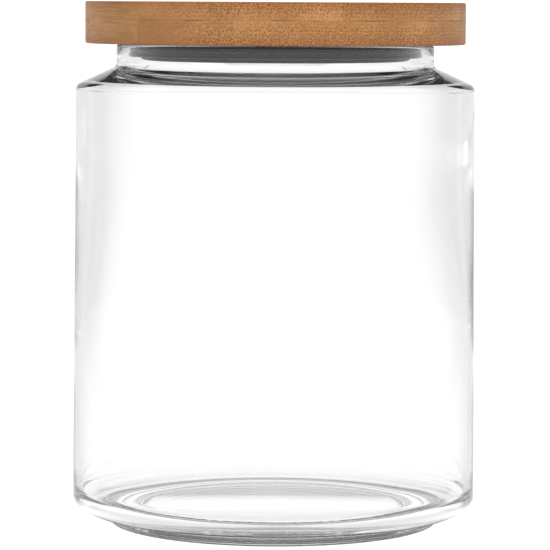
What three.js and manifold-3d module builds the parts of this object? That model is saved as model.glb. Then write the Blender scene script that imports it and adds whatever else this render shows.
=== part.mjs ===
// Lidded glass storage canister: a thick-walled glass jar, and a push-in lid that is glued up
// from bamboo strips and sealed by a silicone gasket in a groove round its plug.
//
// Millimetres, +Z up. The origin is the middle of the base, at the height of the surface that
// the jar stands on. The bamboo's grain runs along Y, and its strips lie side by side along X.

import * as THREE from 'three';
import { mergeVertices } from 'three/addons/utils/BufferGeometryUtils.js';
import Module from 'manifold-3d';

const wasm = await Module();
wasm.setup();

// ---- Driving dimensions: jar ----

const JAR_HEIGHT = 204; // base to rim
const BASE_RADIUS = 86; // the widest place, at the top of the heel
const SIDE_TAPER = 1.3; // how much slimmer the side wall is at the shoulder
const UPPER_WALL = 4.9; // thickness of the side wall below the shoulder
const LOWER_WALL = 2.6; // thickness of the side wall above the heel
const THICK_LENGTH = 45; // from the rim down to where the wall starts to thin
const THINNING_LENGTH = 98; // from there down to where it is at its thinnest

const SHOULDER_WIDTH = 17.2; // from the side wall in to the neck
const SHOULDER_SLOPE = THREE.MathUtils.degToRad(24.6); // below the horizontal
const SHOULDER_ROUND = 3.3; // outer corner between the side wall and the shoulder
const INNER_SLOPE = THREE.MathUtils.degToRad(21); // the shoulder's inside, thicker at the neck
const INNER_DROP = 3.4; // straight down from the outer slope to the inner one, at the side wall
const SHOULDER_INNER_ROUND = 2;

const NECK_HEIGHT = 7.7; // straight part, up to the rim
const NECK_WALL = 4.6;
const NECK_FILLET = 2.5; // outer hollow between the shoulder and the neck
const BORE_ROUND = 5; // inner corner between the neck and the shoulder
const RIM_ROUND = 1.4;

const HEEL_REACH = 16; // how far the heel curves in under the side wall
const HEEL_RISE = 7.7; // height of that curve, above the foot
const HEEL_SWEEP = THREE.MathUtils.degToRad(78);

const FOOT_INSET = 16.2; // from the widest place in to the foot ring
const FOOT_HEIGHT = 4;
const FOOT_WIDTH = 4.3; // of the ring, from its outside to the hollow inside it
const FOOT_ROUND = 0.9;

const PUSH_UP = 3.4; // height of the hollow under the base, in the middle
const PUSH_UP_STEP = 1; // ledge round the hollow
const PUSH_UP_STEP_INSET = 8; // from the foot ring's inside edge to the ledge

const FLOOR_THICKNESS = 4.8; // in the middle
const FLOOR_EDGE = 7; // height of the floor where it meets the fillet
const FLOOR_FILLET = 10;

// ---- Driving dimensions: lid ----

const LOWER_BOARD = 10.2; // thickness
const UPPER_BOARD = 7.5;
const LID_OVERHANG = 13.2; // from the neck's outside to the lid's edge
const LID_EDGE_ROUND = 0.8;
const LID_STRIPS = 8; // in each board
const LOWER_STAGGER = 0.14; // width of the first strip, as a share of a whole strip

const PLUG_DEPTH = 7.4;
const PLUG_GAP = 5.4; // from the neck's bore to the plug's flange
const PLUG_STRIPS = 6;
const PLUG_STAGGER = 0.5;
const PLUG_FLANGE = 1.2; // thickness of the flange that holds the gasket up
const GROOVE_DEPTH = 2.2;

const GASKET_BAND = 4.2; // thickness of the ring behind its lips
const LIP_THICKNESS = 1.1;
const LIP_TAPER = 0.4; // how much thinner a lip is at its edge

// ---- Clearances ----

const SEAT_GAP = 0.3; // between the jar's rim and the lid
const GASKET_SLACK = 0.3; // between the gasket and its groove
const LIP_SLACK = 0.3; // between the gasket's lips and the neck's bore

// ---- Smoothness ----

const SEGMENTS = 64; // round the axis, on every round piece
const ARC_POINTS = 2; // half the steps in each round of an outline

// ---- Sizes that follow ----

const shoulderRadius = BASE_RADIUS - SIDE_TAPER;
const neckRadius = shoulderRadius - SHOULDER_WIDTH;
const boreRadius = neckRadius - NECK_WALL;
const footRadius = BASE_RADIUS - FOOT_INSET;

const lidRadius = neckRadius + LID_OVERHANG;
const lidBottom = JAR_HEIGHT + SEAT_GAP;
const boardSeam = lidBottom + LOWER_BOARD;
const lidTop = boardSeam + UPPER_BOARD;

const plugRadius = boreRadius - PLUG_GAP;
const plugBottom = lidBottom - PLUG_DEPTH;
const grooveRadius = plugRadius - GROOVE_DEPTH;
const grooveBottom = plugBottom + PLUG_FLANGE;

// ---- Materials ----

const glass = new THREE.MeshStandardMaterial({ color: 0xdde3e2, roughness: 0.04, metalness: 0 });
const silicone = new THREE.MeshStandardMaterial({ color: 0x5b5d5e, roughness: 0.5, metalness: 0 });

// Each bamboo strip differs a little in tone from its neighbours.
function bamboo(index) {
  const tone = 0.48 + 0.04 * Math.sin(index * 2.4);
  const color = new THREE.Color().setHSL(0.078, 0.4, tone);
  return new THREE.MeshStandardMaterial({ color, roughness: 0.55, metalness: 0 });
}

// ---- Helpers ----

// Turns a closed outline, drawn as radius and height, into a solid round the Z axis.
function turned(outline) {
  const geometry = new THREE.LatheGeometry(outline.getPoints(ARC_POINTS), SEGMENTS);
  return geometry.rotateX(Math.PI / 2);
}

function toManifold(geometry) {
  const bare = geometry.clone();
  bare.deleteAttribute('normal');
  bare.deleteAttribute('uv');
  const merged = mergeVertices(bare);
  const corners = merged.index.array;
  const triangles = [];
  for (let i = 0; i < corners.length; i += 3) {
    const [a, b, c] = corners.slice(i, i + 3);
    const flat = a === b || b === c || c === a;
    if (!flat) triangles.push(a, b, c);
  }
  return new wasm.Manifold(new wasm.Mesh({
    numProp: 3,
    vertProperties: merged.attributes.position.array,
    triVerts: new Uint32Array(triangles),
  }));
}

function fromManifold(solid) {
  const mesh = solid.getMesh();
  const geometry = new THREE.BufferGeometry();
  geometry.setAttribute('position', new THREE.BufferAttribute(mesh.vertProperties, 3));
  geometry.setIndex(new THREE.BufferAttribute(mesh.triVerts, 1));
  return geometry;
}

// The block between two planes across X, far larger than any board in Y and Z.
function slab(left, right) {
  const reach = 2 * (BASE_RADIUS + JAR_HEIGHT + lidRadius);
  const geometry = new THREE.BoxGeometry(1, 2 * reach, 2 * reach);
  const position = geometry.attributes.position;
  for (let i = 0; i < position.count; i++) {
    position.setX(i, position.getX(i) < 0 ? left : right);
  }
  return geometry;
}

function named(name, geometry, material) {
  const mesh = new THREE.Mesh(geometry, material);
  mesh.name = name;
  return mesh;
}

// ---- Jar ----

// The foot ring and the hollow inside it, from the axis out to the foot's outer edge.
function drawUnderside(outline) {
  const ringInside = footRadius - FOOT_WIDTH;
  const ledge = ringInside - PUSH_UP_STEP_INSET;
  outline.moveTo(0, PUSH_UP);
  outline.quadraticCurveTo(ledge / 2, PUSH_UP, ledge, 2 * PUSH_UP_STEP);
  outline.lineTo(ledge + PUSH_UP_STEP, PUSH_UP_STEP);
  outline.lineTo(ringInside - PUSH_UP_STEP, PUSH_UP_STEP);
  outline.lineTo(ringInside, 0);
  outline.lineTo(footRadius - FOOT_ROUND, 0);
  outline.absarc(footRadius - FOOT_ROUND, FOOT_ROUND, FOOT_ROUND, -Math.PI / 2, 0);
  outline.lineTo(footRadius, FOOT_HEIGHT - FOOT_ROUND);
}

// The elliptical heel, from the foot out to the widest place.
function drawHeel(outline) {
  const centre = BASE_RADIUS - HEEL_REACH;
  const top = FOOT_HEIGHT + HEEL_RISE;
  const rise = HEEL_RISE / Math.sin(HEEL_SWEEP);
  outline.absellipse(centre, top, HEEL_REACH, rise, -HEEL_SWEEP, 0);
}

// A sloping line is known by its reach, which is how far it lies from the outline's origin.
function reachOf(radius, height, slope) {
  return radius * Math.sin(slope) + height * Math.cos(slope);
}

// Height, at a radius, of the line with that reach and slope.
function heightOn(reach, radius, slope) {
  return (reach - radius * Math.sin(slope)) / Math.cos(slope);
}

// Centre of the hollow between the shoulder and the neck.
const filletCentre = new THREE.Vector2(neckRadius + NECK_FILLET, JAR_HEIGHT - NECK_HEIGHT);
const outerReach = reachOf(filletCentre.x, filletCentre.y, SHOULDER_SLOPE) - NECK_FILLET;

function drawOuterShoulder(outline) {
  const radius = shoulderRadius - SHOULDER_ROUND;
  const height = heightOn(outerReach - SHOULDER_ROUND, radius, SHOULDER_SLOPE);
  const normal = Math.PI / 2 - SHOULDER_SLOPE;
  const { x, y } = filletCentre;
  outline.absarc(radius, height, SHOULDER_ROUND, 0, normal);
  outline.absarc(x, y, NECK_FILLET, Math.PI + normal, Math.PI, true);
}

function drawRim(outline) {
  const height = JAR_HEIGHT - RIM_ROUND;
  outline.absarc(neckRadius - RIM_ROUND, height, RIM_ROUND, 0, Math.PI / 2);
  outline.absarc(boreRadius + RIM_ROUND, height, RIM_ROUND, Math.PI / 2, Math.PI);
}

function drawInnerShoulder(outline) {
  const side = shoulderRadius - UPPER_WALL;
  const corner = heightOn(outerReach, side, SHOULDER_SLOPE) - INNER_DROP;
  const reach = reachOf(side, corner, INNER_SLOPE);
  const normal = Math.PI / 2 - INNER_SLOPE;
  const bore = boreRadius + BORE_ROUND;
  const boreHeight = heightOn(reach + BORE_ROUND, bore, INNER_SLOPE);
  outline.absarc(bore, boreHeight, BORE_ROUND, Math.PI, Math.PI + normal);
  const round = SHOULDER_INNER_ROUND;
  const cornerHeight = heightOn(reach - round, side - round, INNER_SLOPE);
  outline.absarc(side - round, cornerHeight, round, normal, 0, true);
}

// The inside of the side wall, which thins downwards in one long S.
function drawInnerWall(outline) {
  const upper = new THREE.Vector2(shoulderRadius - UPPER_WALL, JAR_HEIGHT - THICK_LENGTH);
  const lower = new THREE.Vector2(BASE_RADIUS - LOWER_WALL, upper.y - THINNING_LENGTH);
  const middle = upper.clone().lerp(lower, 0.5);
  const quarter = THINNING_LENGTH / 4;
  outline.lineTo(upper.x, upper.y);
  outline.quadraticCurveTo(upper.x, upper.y - quarter, middle.x, middle.y);
  outline.quadraticCurveTo(lower.x, lower.y + quarter, lower.x, lower.y);
}

function drawFloor(outline) {
  const fillet = BASE_RADIUS - LOWER_WALL - FLOOR_FILLET;
  outline.absarc(fillet, FLOOR_EDGE + FLOOR_FILLET, FLOOR_FILLET, 0, -Math.PI / 2, true);
  outline.quadraticCurveTo(fillet / 2, PUSH_UP + FLOOR_THICKNESS, 0, PUSH_UP + FLOOR_THICKNESS);
}

function jar() {
  const outline = new THREE.Path();
  drawUnderside(outline);
  drawHeel(outline);
  drawOuterShoulder(outline);
  drawRim(outline);
  drawInnerShoulder(outline);
  drawInnerWall(outline);
  drawFloor(outline);
  return named('glass_jar', turned(outline), glass);
}

// ---- Lid ----

// Cuts a round board into strips along Y. The first strip is a share of a whole one, and the
// last one makes up the rest, so that the joints of two boards can be staggered.
function strips(name, board, radius, count, stagger) {
  const solid = toManifold(board);
  const width = (2 * radius) / (count - 1);
  const joint = (index) => -radius + width * (stagger + index);
  const group = new THREE.Group();
  for (let i = 0; i < count; i++) {
    const left = i === 0 ? -2 * radius : joint(i - 1);
    const right = i === count - 1 ? 2 * radius : joint(i);
    const strip = solid.intersect(toManifold(slab(left, right)));
    group.add(named(`${name}_${i + 1}`, fromManifold(strip), bamboo(i + stagger)));
  }
  return group;
}

function lowerBoard() {
  const outline = new THREE.Path();
  const round = lidRadius - LID_EDGE_ROUND;
  outline.moveTo(0, lidBottom);
  outline.lineTo(round, lidBottom);
  outline.absarc(round, lidBottom + LID_EDGE_ROUND, LID_EDGE_ROUND, -Math.PI / 2, 0);
  outline.lineTo(lidRadius, boardSeam);
  outline.lineTo(0, boardSeam);
  return strips('lid_lower_strip', turned(outline), lidRadius, LID_STRIPS, LOWER_STAGGER);
}

function upperBoard() {
  const outline = new THREE.Path();
  const round = lidRadius - LID_EDGE_ROUND;
  outline.moveTo(0, boardSeam);
  outline.lineTo(lidRadius, boardSeam);
  outline.absarc(round, lidTop - LID_EDGE_ROUND, LID_EDGE_ROUND, 0, Math.PI / 2);
  outline.lineTo(0, lidTop);
  return strips('lid_upper_strip', turned(outline), lidRadius, LID_STRIPS, 1 - LOWER_STAGGER);
}

// The plug's groove leaves a flange below it, and the lid itself closes it above.
function plug() {
  const outline = new THREE.Path();
  outline.moveTo(0, plugBottom);
  outline.lineTo(plugRadius - LID_EDGE_ROUND, plugBottom);
  outline.lineTo(plugRadius, plugBottom + LID_EDGE_ROUND);
  outline.lineTo(plugRadius, grooveBottom);
  outline.lineTo(grooveRadius, grooveBottom);
  outline.lineTo(grooveRadius, lidBottom);
  outline.lineTo(0, lidBottom);
  return strips('plug_strip', turned(outline), plugRadius, PLUG_STRIPS, PLUG_STAGGER);
}

// The ring hangs against the underside of the lid, and its two lips reach for the neck's bore.
function gasket() {
  const inside = grooveRadius + GASKET_SLACK;
  const band = inside + GASKET_BAND;
  const edge = boreRadius - LIP_SLACK;
  const bottom = grooveBottom + GASKET_SLACK;
  const top = lidBottom;
  const lipHeights = [bottom, (bottom + top - LIP_THICKNESS) / 2];
  const outline = new THREE.Path();
  outline.moveTo(inside, bottom);
  for (const height of lipHeights) {
    outline.lineTo(band, height);
    outline.lineTo(edge, height + LIP_TAPER / 2);
    outline.lineTo(edge, height + LIP_THICKNESS - LIP_TAPER / 2);
    outline.lineTo(band, height + LIP_THICKNESS);
  }
  outline.lineTo(band, top);
  outline.lineTo(inside, top);
  outline.lineTo(inside, bottom);
  return named('gasket', turned(outline), silicone);
}

// ---- Assembly ----

const canister = new THREE.Group();
canister.name = 'canister';
canister.add(jar(), lowerBoard(), upperBoard(), plug(), gasket());

export default canister;
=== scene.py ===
"""Looks of a lidded glass canister: a clear glass jar, and a bamboo lid with a plug and a gasket.

Metres, +Z up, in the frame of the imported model. The bamboo's grain runs along Y.
"""

import math

import bmesh
import bpy
from mathutils import Matrix, Vector, noise


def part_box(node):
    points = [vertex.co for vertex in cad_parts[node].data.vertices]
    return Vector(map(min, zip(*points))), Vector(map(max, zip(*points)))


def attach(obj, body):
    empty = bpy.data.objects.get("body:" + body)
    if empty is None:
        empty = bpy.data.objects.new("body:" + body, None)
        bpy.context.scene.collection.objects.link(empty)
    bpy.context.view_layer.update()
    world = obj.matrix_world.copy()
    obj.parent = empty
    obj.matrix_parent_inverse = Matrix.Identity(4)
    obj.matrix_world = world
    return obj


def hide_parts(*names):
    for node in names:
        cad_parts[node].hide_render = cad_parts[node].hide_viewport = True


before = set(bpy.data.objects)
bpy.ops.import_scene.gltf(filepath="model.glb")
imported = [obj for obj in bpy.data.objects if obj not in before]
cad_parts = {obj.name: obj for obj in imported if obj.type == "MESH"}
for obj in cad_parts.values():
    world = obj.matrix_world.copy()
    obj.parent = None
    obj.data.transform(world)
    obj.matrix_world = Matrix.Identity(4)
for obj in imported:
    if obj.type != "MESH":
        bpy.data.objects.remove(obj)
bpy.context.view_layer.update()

MM = 0.001

# ---- Places, from the frame ----

jar_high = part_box("glass_jar")[1]
lower_low, lower_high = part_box("lid_lower_strip_5")
upper_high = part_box("lid_upper_strip_4")[1]
plug_low, plug_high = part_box("plug_strip_3")
gasket_low, gasket_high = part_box("gasket")

RIM = jar_high[2]
BASE_RADIUS = jar_high[0]
LID_RADIUS = lower_high[1]
LID_BOTTOM = lower_low[2]
SEAM = lower_high[2]
LID_TOP = upper_high[2]
PLUG_RADIUS = plug_high[1]
PLUG_BOTTOM = plug_low[2]
GASKET_BOTTOM = gasket_low[2]
GASKET_EDGE = gasket_high[0]

# ---- Glass: sizes of the jar's section ----

SIDE_TAPER = 1.3 * MM
UPPER_WALL = 4.9 * MM
LOWER_WALL = 2.6 * MM
THICK_LENGTH = 45 * MM
THINNING_LENGTH = 98 * MM
SHOULDER_WIDTH = 17.2 * MM
SHOULDER_SLOPE = math.radians(24.6)
SHOULDER_ROUND = 3.3 * MM
INNER_SLOPE = math.radians(21)
CORNER_DROP = 3.4 * MM
SHOULDER_INNER_ROUND = 2 * MM
NECK_HEIGHT = 7.7 * MM
NECK_WALL = 4.6 * MM
NECK_FILLET = 2.5 * MM
BORE_ROUND = 5 * MM
RIM_ROUND = 1.4 * MM
HEEL_REACH = 16 * MM
HEEL_RISE = 7.7 * MM
HEEL_SWEEP = math.radians(78)
FOOT_INSET = 16.2 * MM
FOOT_HEIGHT = 4 * MM
FOOT_WIDTH = 4.3 * MM
FOOT_ROUND = 0.9 * MM
PUSH_UP = 3.4 * MM
PUSH_UP_STEP = 1 * MM
PUSH_UP_STEP_INSET = 8 * MM
FLOOR_THICKNESS = 4.8 * MM
FLOOR_EDGE = 7 * MM
FLOOR_FILLET = 10 * MM
FOOT_MARKS = 90
FOOT_MARK_DEPTH = 0.3 * MM
FOOT_MARK_DROP = 0.7 * MM  # from the top of the foot down to the middle of a mark
MARKED_RISE = 0.2 * MM
MARKED_INSET = 0.3 * MM
WAVE = 0.25 * MM
WAVE_AROUND = 1.6
WAVE_UPWARD = 16
RIPPLE = 0.07 * MM
RIPPLE_SHARE = 2.5  # how much finer round the jar a ripple is than a wave
RIPPLE_UPWARD = 45
CALM_LENGTH = 20 * MM  # from the rim down to where the waves start, and from there to their full size
INSIDE_DEPTH = 1.5 * MM
INSIDE_RISE = 1 * MM

SHOULDER_RADIUS = BASE_RADIUS - SIDE_TAPER
NECK_RADIUS = SHOULDER_RADIUS - SHOULDER_WIDTH
BORE_RADIUS = NECK_RADIUS - NECK_WALL
FOOT_RADIUS = BASE_RADIUS - FOOT_INSET

# ---- Camera, at the photograph's angle ----

AZIMUTH = math.radians(-30)
PITCH = math.radians(4.89)
ROLL = math.radians(0.3)
DISTANCE = 1.359
EYE_HEIGHT = 0.2219
SIDESTEP = 0.0003
SENSOR = 36
LENS = 208.7


def make_camera():
    right = Vector((math.cos(AZIMUTH), math.sin(AZIMUTH), 0))
    outward = Vector((math.sin(AZIMUTH), -math.cos(AZIMUTH), 0))
    back = outward * math.cos(PITCH) + Vector((0, 0, math.sin(PITCH)))
    up = back.cross(right)
    tilted_right = right * math.cos(ROLL) + up * math.sin(ROLL)
    tilted_up = up * math.cos(ROLL) - right * math.sin(ROLL)
    data = bpy.data.cameras.new("camera")
    data.lens = LENS
    data.sensor_width = SENSOR
    data.clip_end = 50
    camera = bpy.data.objects.new("camera", data)
    bpy.context.scene.collection.objects.link(camera)
    place = Matrix((tilted_right, tilted_up, back)).transposed().to_4x4()
    place.translation = outward * DISTANCE + right * SIDESTEP + Vector((0, 0, EYE_HEIGHT))
    camera.matrix_world = place
    bpy.context.scene.camera = camera


# ---- Mesh helpers ----

SAME_POINT = 1e-6


def arc(centre, radius, start, end, steps=10):
    """Points of a circular round in a section; angles are in degrees."""
    return ellipse(centre, radius, radius, start, end, steps)


def ellipse(centre, across, upward, start, end, steps=10):
    points = []
    for i in range(steps + 1):
        angle = math.radians(start + (end - start) * i / steps)
        points.append((centre[0] + across * math.cos(angle), centre[1] + upward * math.sin(angle)))
    return points


def straight(start, end, steps):
    return [
        (start[0] + (end[0] - start[0]) * i / steps, start[1] + (end[1] - start[1]) * i / steps)
        for i in range(steps + 1)
    ]


def without_repeats(outline):
    """Drops points that repeat the one before them."""
    kept = [outline[0]]
    for point in outline[1:]:
        if math.dist(point, kept[-1]) > SAME_POINT:
            kept.append(point)
    return kept


def new_object(name, mesh_data):
    obj = bpy.data.objects.new(name, mesh_data)
    bpy.context.scene.collection.objects.link(obj)
    return obj


def from_bmesh(name, bm):
    bmesh.ops.recalc_face_normals(bm, faces=bm.faces)
    data = bpy.data.meshes.new(name)
    bm.to_mesh(data)
    bm.free()
    data.shade_smooth()
    return new_object(name, data)


def turned(name, outline, segments, shift=None):
    """A solid of revolution. shift(radius, height, angle) gives how far a point stands out."""
    bm = bmesh.new()
    closed = outline[0][0] > 0
    rings = []
    for radius, height in outline:
        if radius <= 0:
            rings.append([bm.verts.new((0, 0, height))])
            continue
        ring = []
        for i in range(segments):
            angle = 2 * math.pi * i / segments
            reach, lift = shift(radius, height, angle) if shift else (0, 0)
            out = radius + reach
            ring.append(bm.verts.new((out * math.cos(angle), out * math.sin(angle), height + lift)))
        rings.append(ring)
    pairs = list(zip(rings, rings[1:]))
    if closed:
        pairs.append((rings[-1], rings[0]))
    for low, high in pairs:
        for i in range(segments):
            j = (i + 1) % segments
            corners = [low[i % len(low)], low[j % len(low)], high[j % len(high)], high[i % len(high)]]
            bm.faces.new(list(dict.fromkeys(corners)))
    return from_bmesh(name, bm)


# ---- Glass jar ----

def underside():
    ring_inside = FOOT_RADIUS - FOOT_WIDTH
    ledge = ring_inside - PUSH_UP_STEP_INSET
    points = []
    steps = 12
    for i in range(steps + 1):
        share = i / steps
        rise = PUSH_UP - (PUSH_UP - 2 * PUSH_UP_STEP) * share * share
        points.append((ledge * share, rise))
    points += straight((ledge, 2 * PUSH_UP_STEP), (ledge + PUSH_UP_STEP, PUSH_UP_STEP), 4)
    points += straight(points[-1], (ring_inside - PUSH_UP_STEP, PUSH_UP_STEP), 3)
    points += arc((ring_inside - PUSH_UP_STEP, 0), PUSH_UP_STEP, 90, 0, 5)
    return points


def foot():
    centre = FOOT_RADIUS - FOOT_ROUND
    points = arc((centre, FOOT_ROUND), FOOT_ROUND, -90, 0, 6)
    points += straight(points[-1], (FOOT_RADIUS, FOOT_HEIGHT - FOOT_ROUND), 4)
    return points


def heel():
    centre = (BASE_RADIUS - HEEL_REACH, FOOT_HEIGHT + HEEL_RISE)
    rise = HEEL_RISE / math.sin(HEEL_SWEEP)
    return ellipse(centre, HEEL_REACH, rise, -math.degrees(HEEL_SWEEP), 0, 22)


def slope_reach():
    """How far the line of the shoulder's slope lies from the origin of the section."""
    sine, cosine = math.sin(SHOULDER_SLOPE), math.cos(SHOULDER_SLOPE)
    return (NECK_RADIUS + NECK_FILLET) * sine + (RIM - NECK_HEIGHT) * cosine - NECK_FILLET


def on_slope(reach, slope, radius):
    """Height at a radius of the line that lies at a reach and falls outwards at a slope."""
    return (reach - radius * math.sin(slope)) / math.cos(slope)


def outer_shoulder():
    turn = 90 - math.degrees(SHOULDER_SLOPE)
    radius = SHOULDER_RADIUS - SHOULDER_ROUND
    height = on_slope(slope_reach() - SHOULDER_ROUND, SHOULDER_SLOPE, radius)
    corner = arc((radius, height), SHOULDER_ROUND, 0, turn, 10)
    fillet_centre = (NECK_RADIUS + NECK_FILLET, RIM - NECK_HEIGHT)
    return corner + arc(fillet_centre, NECK_FILLET, 180 + turn, 180, 10)


def rim():
    height = RIM - RIM_ROUND
    outside = arc((NECK_RADIUS - RIM_ROUND, height), RIM_ROUND, 0, 90, 6)
    inside = arc((BORE_RADIUS + RIM_ROUND, height), RIM_ROUND, 90, 180, 6)
    return outside + inside


def inner_shoulder():
    turn = 90 - math.degrees(INNER_SLOPE)
    wall_radius = SHOULDER_RADIUS - UPPER_WALL
    corner = on_slope(slope_reach(), SHOULDER_SLOPE, wall_radius) - CORNER_DROP
    reach = wall_radius * math.sin(INNER_SLOPE) + corner * math.cos(INNER_SLOPE)
    bore = BORE_RADIUS + BORE_ROUND
    wall = wall_radius - SHOULDER_INNER_ROUND
    points = arc((bore, on_slope(reach + BORE_ROUND, INNER_SLOPE, bore)), BORE_ROUND, 180, 180 + turn, 12)
    height = on_slope(reach - SHOULDER_INNER_ROUND, INNER_SLOPE, wall)
    return points + arc((wall, height), SHOULDER_INNER_ROUND, turn, 0, 10)


def jar_floor():
    fillet = BASE_RADIUS - LOWER_WALL - FLOOR_FILLET
    points = arc((fillet, FLOOR_EDGE + FLOOR_FILLET), FLOOR_FILLET, 0, -90, 16)
    middle = PUSH_UP + FLOOR_THICKNESS
    steps = 14
    for i in range(1, steps + 1):
        share = 1 - i / steps
        points.append((fillet * share, middle - (middle - FLOOR_EDGE) * share * share))
    return points


def inner_wall(top, bottom, steps=24):
    """The inside of the wall, which thins downwards."""
    points = []
    for radius, height in straight(top, bottom, steps):
        share = max(0, min(1, 1 - (RIM - THICK_LENGTH - height) / THINNING_LENGTH))
        blend = share * share * (3 - 2 * share)
        points.append((bottom[0] + (top[0] - bottom[0]) * blend, height))
    return points


def jar_outline():
    outer_heel = heel()
    shoulder = outer_shoulder()
    inside_top = inner_shoulder()
    inside_bottom = jar_floor()
    points = underside() + foot() + outer_heel
    points += straight(outer_heel[-1], shoulder[0], 24) + shoulder + rim() + inside_top
    points += inner_wall(inside_top[-1], inside_bottom[0]) + inside_bottom
    return without_repeats(points)


def worked_surface(radius, height, angle):
    """Small unevenness of moulded glass: waves on the inside, and marks round the foot."""
    around = Vector((math.cos(angle), math.sin(angle), 0)) * WAVE_AROUND
    inside = radius < SHOULDER_RADIUS - INSIDE_DEPTH and height > FOOT_HEIGHT + INSIDE_RISE
    if inside and height < RIM - NECK_HEIGHT:
        wave = noise.noise(around + Vector((0, 0, height * WAVE_UPWARD)))
        ripple = noise.noise(around * RIPPLE_SHARE + Vector((5, 0, height * RIPPLE_UPWARD)))
        below = min(1, max(0, (RIM - CALM_LENGTH - height) / CALM_LENGTH))
        return (below * (wave * WAVE + ripple * RIPPLE), 0)
    if radius > FOOT_RADIUS - MARKED_INSET and height < FOOT_HEIGHT + MARKED_RISE:
        mark = max(0, math.cos(angle * FOOT_MARKS)) ** 2
        level = math.exp(-((height - FOOT_HEIGHT + FOOT_MARK_DROP) / FOOT_MARK_DROP) ** 2)
        return (-FOOT_MARK_DEPTH * mark * level, 0)
    return (0, 0)


def make_jar():
    jar = turned("jar_glass", jar_outline(), 4 * FOOT_MARKS, worked_surface)
    jar.data.materials.append(glass_material())
    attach(jar, "jar")
    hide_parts("glass_jar")


# ---- Bamboo lid ----

LID_STRIPS = 8
LOWER_STAGGER = 0.14
UPPER_STAGGER = 1 - LOWER_STAGGER
EDGE_ROUND = 0.8 * MM
STRIP_STEPS = 40
STRIP_SHARP = math.radians(35)
PLUG_STRIPS = 6
PLUG_STAGGER = 0.5
PLUG_FLANGE = 1.2 * MM
GROOVE_DEPTH = 2.2 * MM


def strip_mesh(name, section, left, right):
    """A strip of a round board between two planes across X. section lists (radius, height)."""
    bm = bmesh.new()
    rings = []
    for radius, height in section:
        first = math.acos(max(-1, min(1, left / radius)))
        last = math.acos(max(-1, min(1, right / radius)))
        ring = []
        for side in (-1, 1):
            for i in range(STRIP_STEPS + 1):
                share = i / STRIP_STEPS if side < 0 else 1 - i / STRIP_STEPS
                angle = first + (last - first) * share
                point = (radius * math.cos(angle), side * radius * math.sin(angle), height)
                ring.append(bm.verts.new(point))
        rings.append(ring)
    count = len(rings[0])
    for low, high in zip(rings, rings[1:]):
        for i in range(count):
            j = (i + 1) % count
            bm.faces.new((low[i], low[j], high[j], high[i]))
    bm.faces.new(reversed(rings[0]))
    bm.faces.new(rings[-1])
    bmesh.ops.remove_doubles(bm, verts=bm.verts, dist=SAME_POINT)
    strip = from_bmesh(name, bm)
    strip.data.set_sharp_from_angle(angle=STRIP_SHARP)
    return strip


def board(node, section, radius, count, stagger, material):
    """A board of strips. The stagger is the width of its first strip, as a share of a whole one."""
    width = 2 * radius / (count - 1)
    for i in range(count):
        left = -radius if i == 0 else -radius + width * (stagger + i - 1)
        right = radius if i == count - 1 else -radius + width * (stagger + i)
        strip = strip_mesh(f"bamboo_{node}_{i + 1}", section, left, right)
        strip.data.materials.append(material)
        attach(strip, "lid")
        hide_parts(f"{node}_{i + 1}")


def make_lid():
    edge = LID_RADIUS - EDGE_ROUND
    lower = arc((edge, LID_BOTTOM + EDGE_ROUND), EDGE_ROUND, -90, 0, 6) + [(LID_RADIUS, SEAM)]
    upper = [(LID_RADIUS, SEAM)] + arc((edge, LID_TOP - EDGE_ROUND), EDGE_ROUND, 0, 90, 6)
    lower_strips = (LID_RADIUS, LID_STRIPS, LOWER_STAGGER)
    upper_strips = (LID_RADIUS, LID_STRIPS, UPPER_STAGGER)
    lower_look = bamboo_material("bamboo_lower", *lower_strips, SEAM, LID_BOTTOM)
    upper_look = bamboo_material("bamboo_upper", *upper_strips, SEAM, LID_TOP)
    board("lid_lower_strip", lower, *lower_strips, lower_look)
    board("lid_upper_strip", upper, *upper_strips, upper_look)


def make_plug():
    groove = PLUG_RADIUS - GROOVE_DEPTH
    flange = PLUG_BOTTOM + PLUG_FLANGE
    section = arc((PLUG_RADIUS - EDGE_ROUND, PLUG_BOTTOM + EDGE_ROUND), EDGE_ROUND, -90, 0, 4)
    section += [(PLUG_RADIUS, flange), (groove, flange), (groove, LID_BOTTOM)]
    strips = (PLUG_RADIUS, PLUG_STRIPS, PLUG_STAGGER)
    # the plug's board is all in painted shade
    look = bamboo_material("bamboo_plug", *strips, PLUG_BOTTOM, LID_BOTTOM, all_in_painted_shade=True)
    board("plug_strip", section, *strips, look)


# ---- Gasket ----

GASKET_SLACK = 0.3 * MM
GASKET_BAND = 4.2 * MM
LIP_THICKNESS = 1.1 * MM
LIP_TIP_ROUND = 0.35 * LIP_THICKNESS
GASKET_SEGMENTS = 192
GASKET_SHARP = math.radians(40)


def make_gasket():
    inside = PLUG_RADIUS - GROOVE_DEPTH + GASKET_SLACK
    band = inside + GASKET_BAND
    tip = GASKET_EDGE - LIP_TIP_ROUND
    points = [(inside, GASKET_BOTTOM)]
    for height in (GASKET_BOTTOM, (GASKET_BOTTOM + LID_BOTTOM - LIP_THICKNESS) / 2):
        points += [(band, height)]
        points += arc((tip, height + LIP_THICKNESS / 2), LIP_TIP_ROUND, -90, 90, 6)
        points += [(band, height + LIP_THICKNESS)]
    points += [(band, LID_BOTTOM), (inside, LID_BOTTOM)]
    gasket = turned("gasket_ring", without_repeats(points), GASKET_SEGMENTS)
    gasket.data.set_sharp_from_angle(angle=GASKET_SHARP)
    gasket.data.materials.append(silicone_material())
    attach(gasket, "lid")
    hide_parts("gasket")


# ---- Materials ----

# how strongly the painted shade darkens the lid's underside and the plug
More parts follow.
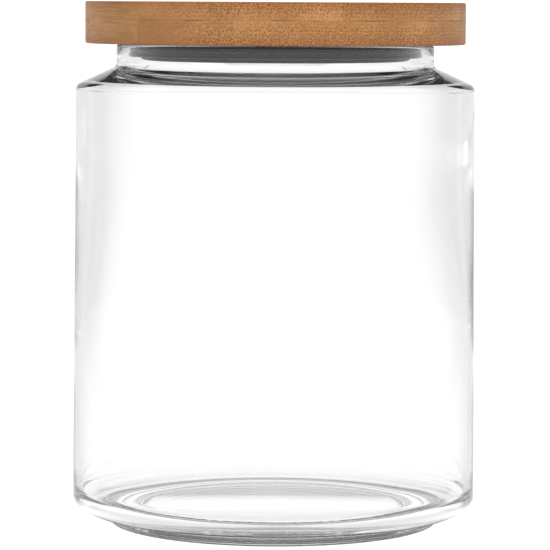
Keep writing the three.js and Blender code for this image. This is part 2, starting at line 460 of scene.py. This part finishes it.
UNDERSIDE_PAINTED_SHADE = 0.9
PALE_BAMBOO = (0.50, 0.245, 0.085, 1)
DEEP_BAMBOO = (0.41, 0.19, 0.06, 1)
RED_BAMBOO = (0.36, 0.125, 0.03, 1)
BROWN_BAMBOO = (0.25, 0.10, 0.03, 1)
DOT_BAMBOO = (0.09, 0.03, 0.008, 1)
GLUE_BAMBOO = (0.07, 0.03, 0.012, 1)
# near black of the painted shade under the lid and on the plug
PAINTED_SHADE_BAMBOO = (0.02, 0.017, 0.015, 1)
COARSE_SPACING = 1.15 * MM
FINE_SPACING = 0.9 * MM
DRIFT = 2.2 * MM
LEAN = 0.35
STREAK_SCALE = 1100
JOINT_EDGE = (0.2 * MM, 0.06 * MM)
SEAM_EDGE = (0.28 * MM, 0.1 * MM)
BAMBOO_RELIEF = 0.08 * MM
CLEAR_GLASS = (0.992, 0.994, 0.993, 1)
GLASS_IOR = 1.52
DARK_SILICONE = (0.03, 0.031, 0.033, 1)
PALE_SILICONE = (0.07, 0.071, 0.074, 1)
SILICONE_RELIEF = 0.05 * MM


def new_material(name):
    material = bpy.data.materials.new(name)
    material.use_nodes = True
    tree = material.node_tree
    return material, tree, tree.nodes["Principled BSDF"]


class Graph:
    """Adds nodes to a tree and links them; an input may be a value or another node's output."""

    def __init__(self, tree):
        self.tree = tree

    def put(self, socket, value):
        if isinstance(value, bpy.types.NodeSocket):
            self.tree.links.new(value, socket)
        else:
            socket.default_value = value

    def add(self, kind, inputs=(), output=0, **settings):
        node = self.tree.nodes.new(kind)
        for key, value in settings.items():
            setattr(node, key, value)
        for key, value in dict(inputs).items():
            self.put(node.inputs[key], value)
        return node.outputs[output]

    def math(self, operation, *values):
        return self.add("ShaderNodeMath", dict(enumerate(values)), operation=operation)

    def position(self):
        return self.add("ShaderNodeTexCoord", output="Object")

    def split(self, vector):
        node = self.tree.nodes.new("ShaderNodeSeparateXYZ")
        self.put(node.inputs[0], vector)
        return node.outputs

    def join(self, x, y, z):
        return self.add("ShaderNodeCombineXYZ", {0: x, 1: y, 2: z})

    def noise(self, vector, scale, detail=2, roughness=0.5):
        inputs = {"Vector": vector, "Scale": scale, "Detail": detail, "Roughness": roughness}
        return self.add("ShaderNodeTexNoise", inputs)

    def ramp(self, value, low, high, start=0.0, end=1.0, smooth=True):
        kind = "SMOOTHSTEP" if smooth else "LINEAR"
        inputs = {"Value": value, "From Min": low, "From Max": high, "To Min": start, "To Max": end}
        return self.add("ShaderNodeMapRange", inputs, interpolation_type=kind)

    def mix(self, share, first, second):
        node = self.tree.nodes.new("ShaderNodeMix")
        node.data_type = "RGBA"
        self.put(node.inputs[0], share)
        self.put(node.inputs[6], first)
        self.put(node.inputs[7], second)
        return node.outputs[2]

    def bump(self, height, distance, strength):
        inputs = {"Height": height, "Distance": distance, "Strength": strength}
        return self.add("ShaderNodeBump", inputs)


def glass_material():
    material, tree, shader = new_material("clear_glass")
    graph = Graph(tree)
    shader.inputs["Base Color"].default_value = CLEAR_GLASS
    shader.inputs["Transmission Weight"].default_value = 1
    shader.inputs["IOR"].default_value = GLASS_IOR
    cloud = graph.noise(graph.position(), 18, 2)
    graph.put(shader.inputs["Roughness"], graph.ramp(cloud, 0.55, 0.8, 0.0, 0.012))
    return material


def silicone_material():
    material, tree, shader = new_material("silicone")
    graph = Graph(tree)
    dust = graph.noise(graph.position(), 900, 3, 0.6)
    tone = graph.mix(graph.ramp(dust, 0.3, 0.7), DARK_SILICONE, PALE_SILICONE)
    graph.put(shader.inputs["Base Color"], tone)
    graph.put(shader.inputs["Roughness"], graph.ramp(dust, 0.2, 0.8, 0.38, 0.55))
    graph.put(shader.inputs["Normal"], graph.bump(dust, SILICONE_RELIEF, 0.4))
    return material


def bamboo_material(name, radius, count, stagger, inner_height, outer_height, all_in_painted_shade=False):
    """Strips of flat-laid bamboo, with the culm's dense outside towards outer_height."""
    material, tree, shader = new_material(name)
    graph = Graph(tree)
    x, y, z = graph.split(graph.position())
    width = 2 * radius / (count - 1)
    strips = graph.math("DIVIDE", graph.math("ADD", x, radius), width)
    across = graph.math("SUBTRACT", strips, stagger)
    index = graph.math("FLOOR", across)
    within = graph.math("FRACT", across)
    seed = graph.add("ShaderNodeTexWhiteNoise", {"W": index}, noise_dimensions="1D", output="Value")
    depth = graph.ramp(z, inner_height, outer_height, 0, 1, smooth=False)

    # Fibre bundles: cells in the end grain that run on almost unchanged along Y.
    strip_place = graph.join(graph.math("MULTIPLY", index, 3.7), graph.math("MULTIPLY", y, 6), z)
    shifted = graph.math("ADD", x, graph.math("MULTIPLY", graph.noise(strip_place, 3, 1), DRIFT))
    sheared = graph.math("ADD", shifted, graph.math("MULTIPLY", z, LEAN))

    def bundles(spacing, low, high, squeeze):
        spot = graph.join(sheared, graph.math("MULTIPLY", z, squeeze), 0)
        inputs = {"Vector": spot, "Scale": 1 / spacing, "Randomness": 0.6}
        cells = graph.add("ShaderNodeTexVoronoi", inputs, output="Distance", voronoi_dimensions="2D")
        return graph.ramp(cells, high, low)

    coarse = bundles(COARSE_SPACING, 0.16, 0.42, 0.8)
    fine = bundles(FINE_SPACING, 0.18, 0.46, 0.9)
    dots = graph.mix(graph.ramp(depth, 0.35, 0.8), coarse, fine)
    wander = graph.noise(graph.join(graph.math("MULTIPLY", index, 1.9), y, z), 45, 2)
    density = graph.math("ADD", depth, graph.math("MULTIPLY", wander, 0.7))
    dots = graph.math("MULTIPLY", dots, graph.ramp(density, 0.25, 1.0, 0.25, 1))
    normal = graph.split(graph.add("ShaderNodeTexCoord", output="Normal"))
    end_grain = graph.ramp(graph.math("ABSOLUTE", normal[1]), 0.35, 0.75, 0.12, 1)
    dots = graph.math("MULTIPLY", dots, end_grain)

    streak_place = graph.join(sheared, graph.math("MULTIPLY", y, 0.03), z)
    streaks = graph.noise(streak_place, STREAK_SCALE, 3, 0.6)
    patch = graph.noise(graph.join(x, graph.math("MULTIPLY", y, 0.2), z), 70, 3, 0.5)

    pale = graph.mix(seed, PALE_BAMBOO, DEEP_BAMBOO)
    base = graph.mix(graph.ramp(depth, 0.45, 1.0, 0, 0.6), pale, RED_BAMBOO)
    base = graph.mix(graph.ramp(patch, 0.35, 0.7, 0, 0.4), base, BROWN_BAMBOO)
    base = graph.mix(graph.ramp(streaks, 0.35, 0.7, 0, 0.45), base, BROWN_BAMBOO)
    colour = graph.mix(graph.math("MULTIPLY", dots, 0.8), base, DOT_BAMBOO)

    # Glue lines: faint between the strips, and broken ones between the boards.
    from_joint = graph.math("MULTIPLY", graph.math("PINGPONG", within, 0.5), width)
    joint = graph.ramp(from_joint, *JOINT_EDGE)
    seam_gap = graph.math("ABSOLUTE", graph.math("SUBTRACT", z, SEAM))
    seam = graph.ramp(seam_gap, *SEAM_EDGE)
    broken = graph.ramp(graph.noise(graph.join(x, y, 0), 40, 2), 0.47, 0.62, 0.12, 1)
    seam = graph.math("MULTIPLY", seam, broken)
    glue = graph.math("MAXIMUM", graph.math("MULTIPLY", joint, 0.22), seam)
    colour = graph.mix(graph.math("MULTIPLY", glue, 0.8), colour, GLUE_BAMBOO)

    # Painted shade: the underside of the lid, and all of the plug's board, are darkened towards near
    # black, where little light falls; hidden is the share of this painted shade.
    hidden = UNDERSIDE_PAINTED_SHADE if all_in_painted_shade else graph.ramp(normal[2], -0.85, -0.98, 0, UNDERSIDE_PAINTED_SHADE)
    colour = graph.mix(hidden, colour, PAINTED_SHADE_BAMBOO)
    graph.put(shader.inputs["Base Color"], colour)
    graph.put(shader.inputs["Roughness"], graph.ramp(streaks, 0.2, 0.8, 0.42, 0.6))
    hollows = graph.math("ADD", dots, glue)
    relief = graph.math("SUBTRACT", graph.math("MULTIPLY", streaks, 0.4), hollows)
    graph.put(shader.inputs["Normal"], graph.bump(relief, BAMBOO_RELIEF, 0.5))
    return material


# ---- Stage: tones are emission strengths, and WIDTH and FADE are at the jar and per metre behind it ----

PLAIN_TONE = 1.12  # where the camera looks straight at the floor or the background
BACK_TONE = 1.06  # of the white sweep behind the jar
SIDE_TONE = 0.78  # at all other bearings
OVERHEAD_TONE = 0.06
SWEEP_WIDTH = (0.088, math.tan(math.radians(3.7)))
SWEEP_FADE = (0.03, 0.15)
SKY_WIDTH = (0, SWEEP_WIDTH[1])
SKY_FADE = (0.001, SWEEP_FADE[1])
FRONT_START = 0.09
FRONT_FADE = 0.12
BACK_TOP = 0.25
BACK_TOP_END = 0.35
SHADE_TONE = 0.04  # of the painted contact shadow, a dark ring on the floor under the foot
SHADE_INNER = 0.066
SHADE_INNER_FADE = 0.004
SHADE_OUTER = 0.0735
SHADE_OUTER_FADE = 0.012
FLOOR_REACH = 30
FLOOR_COLOUR = (0.05, 0.05, 0.05, 1)
FLOOR_ROUGHNESS = 0.9
WHITE = (1, 1, 1, 1)


def bearings(graph, x, y):
    """How far a place or direction lies behind the jar at AZIMUTH, and how far aside."""
    sine, cosine = math.sin(AZIMUTH), math.cos(AZIMUTH)
    along = graph.math("SUBTRACT", graph.math("MULTIPLY", y, cosine), graph.math("MULTIPLY", x, sine))
    aside = graph.math("ADD", graph.math("MULTIPLY", x, cosine), graph.math("MULTIPLY", y, sine))
    return along, graph.math("ABSOLUTE", aside)


def sweep(graph, along, aside, width, fade):
    """1 on a white sweep that widens away behind the jar, and 0 beside it."""
    behind = graph.math("MAXIMUM", along, 0)
    edge = graph.math("ADD", width[0], graph.math("MULTIPLY", behind, width[1]))
    soft = graph.math("ADD", fade[0], graph.math("MULTIPLY", behind, fade[1]))
    past = graph.math("DIVIDE", graph.math("SUBTRACT", aside, edge), soft)
    front = graph.ramp(along, -FRONT_START, -FRONT_START - FRONT_FADE, 1, 0)
    return graph.math("MULTIPLY", graph.ramp(past, 0, 1, 1, 0), front)


def plain_to_camera(graph, tone):
    """The floor and the background are plain white to the camera; the glass sees the tone."""
    direct = graph.add("ShaderNodeLightPath", output="Is Camera Ray")
    return graph.math("MAXIMUM", tone, graph.math("MULTIPLY", direct, PLAIN_TONE))


def between(graph, share, low, high):
    return graph.math("ADD", low, graph.math("MULTIPLY", share, graph.math("SUBTRACT", high, low)))


def make_floor():
    """A floor that glows: its own colour is nearly black."""
    data = bpy.data.meshes.new("floor")
    corners = [(x * FLOOR_REACH, y * FLOOR_REACH, 0) for x, y in ((-1, -1), (1, -1), (1, 1), (-1, 1))]
    data.from_pydata(corners, [], [(0, 1, 2, 3)])
    floor = new_object("floor", data)
    material, tree, shader = new_material("floor")
    graph = Graph(tree)
    x, y = graph.split(graph.position())[:2]
    squares = graph.math("ADD", graph.math("MULTIPLY", x, x), graph.math("MULTIPLY", y, y))
    distance = graph.math("POWER", squares, 0.5)
    white = sweep(graph, *bearings(graph, x, y), SWEEP_WIDTH, SWEEP_FADE)
    tone = between(graph, white, SIDE_TONE, BACK_TONE)
    # painted contact shadow: the floor's glow is dimmed in a ring round the foot
    outside = graph.ramp(distance, SHADE_OUTER, SHADE_OUTER + SHADE_OUTER_FADE, SHADE_TONE, 1)
    within = graph.ramp(distance, SHADE_INNER, SHADE_INNER + SHADE_INNER_FADE, 1, SHADE_TONE)
    tone = graph.math("MULTIPLY", tone, graph.math("MAXIMUM", outside, within))
    shader.inputs["Base Color"].default_value = FLOOR_COLOUR
    shader.inputs["Roughness"].default_value = FLOOR_ROUGHNESS
    shader.inputs["Emission Color"].default_value = WHITE
    graph.put(shader.inputs["Emission Strength"], plain_to_camera(graph, tone))
    data.materials.append(material)


def make_world():
    """White behind the jar, one pale grey at all other bearings, and dark overhead."""
    world = bpy.data.worlds.new("studio")
    world.use_nodes = True
    bpy.context.scene.world = world
    graph = Graph(world.node_tree)
    background = world.node_tree.nodes["Background"]
    direction = graph.add("ShaderNodeTexCoord", output="Generated")
    x, y, height = graph.split(direction)
    white = sweep(graph, *bearings(graph, x, y), SKY_WIDTH, SKY_FADE)
    tone = between(graph, white, SIDE_TONE, BACK_TONE)
    low = graph.ramp(height, BACK_TOP, BACK_TOP_END, 1, 0)
    tone = graph.math("MAXIMUM", graph.math("MULTIPLY", tone, low), OVERHEAD_TONE)
    background.inputs["Color"].default_value = WHITE
    graph.put(background.inputs["Strength"], plain_to_camera(graph, tone))


def area_light(name, bearing, distance, height, size, power):
    """A soft light that faces the lid, at a bearing in degrees from the camera's side. It is hidden
    from the glass and from mirrored rays."""
    turn = AZIMUTH + math.radians(bearing)
    data = bpy.data.lights.new(name, "AREA")
    data.size = size
    data.energy = power
    light = bpy.data.objects.new(name, data)
    bpy.context.scene.collection.objects.link(light)
    light.location = (math.sin(turn) * distance, -math.cos(turn) * distance, height)
    aim = Vector((0, 0, LID_BOTTOM)) - light.location
    light.rotation_euler = aim.to_track_quat("-Z", "Y").to_euler()
    light.visible_glossy = False
    light.visible_transmission = False


def make_lights():
    area_light("overhead", 20, 0.35, 1.5, 0.8, 8)
    area_light("front_left", -38, 2.0, 0.9, 0.9, 15)
    area_light("front_right", 38, 2.0, 0.9, 0.9, 25)
    area_light("rim_left", -152, 3.2, 0.45, 0.5, 50)
    area_light("rim_right", 152, 3.2, 0.45, 0.5, 50)


make_camera()
make_jar()
make_lid()
make_plug()
make_gasket()
make_floor()
make_world()
make_lights()

scene = bpy.context.scene
scene.view_settings.view_transform = "Standard"
scene.cycles.max_bounces = 24
scene.cycles.transmission_bounces = 20
scene.cycles.glossy_bounces = 12
